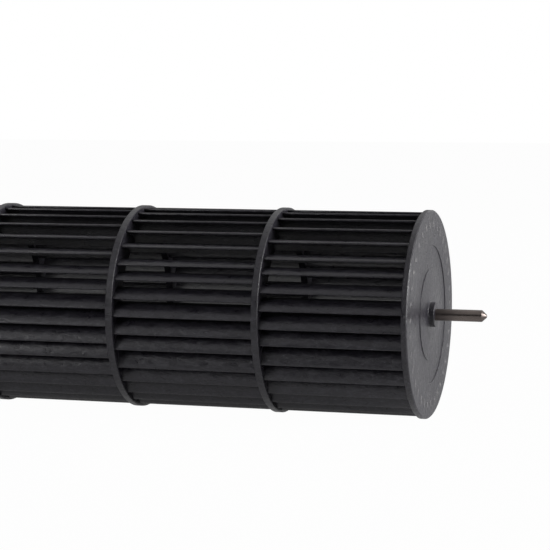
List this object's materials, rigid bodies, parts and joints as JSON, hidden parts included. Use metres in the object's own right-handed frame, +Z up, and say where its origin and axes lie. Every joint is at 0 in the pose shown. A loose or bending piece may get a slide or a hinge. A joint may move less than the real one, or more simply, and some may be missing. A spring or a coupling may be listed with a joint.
{
  "type": "cross flow fan wheel",
  "caption": "Long drum of forward-curved blades between thin rings, with a closing disc and steel bearing pin at one end and a rubber-mounted shaft hub at the other.",
  "frame": {"origin": "on the axis where the shaft bore starts, in the plane of the motor-end disc's outer face", "axes": "+X along the axis towards the bearing pin, +Z up"},
  "size_m": [0.8014, 0.106, 0.106],
  "materials": {
    "drum_plastic": "glass-filled, satin",
    "pin_steel": "ground",
    "hub_metal": "die-cast",
    "damper_rubber": "moulded",
    "screw_steel": "black oxide"
  },
  "bodies": {
    "root": {"motor_end_segment": "drum_plastic", "blade_segment_02": "drum_plastic", "blade_segment_03": "drum_plastic", "blade_segment_04": "drum_plastic", "blade_segment_05": "drum_plastic", "blade_segment_06": "drum_plastic", "blade_segment_07": "drum_plastic", "blade_segment_08": "drum_plastic", "blade_segment_09": "drum_plastic", "blade_segment_10": "drum_plastic", "pin_end_disc": "drum_plastic", "bearing_pin": "pin_steel", "motor_hub": "hub_metal", "rubber_damper": "damper_rubber", "clamp_screw": "screw_steel"}
  },
  "joints": []
}
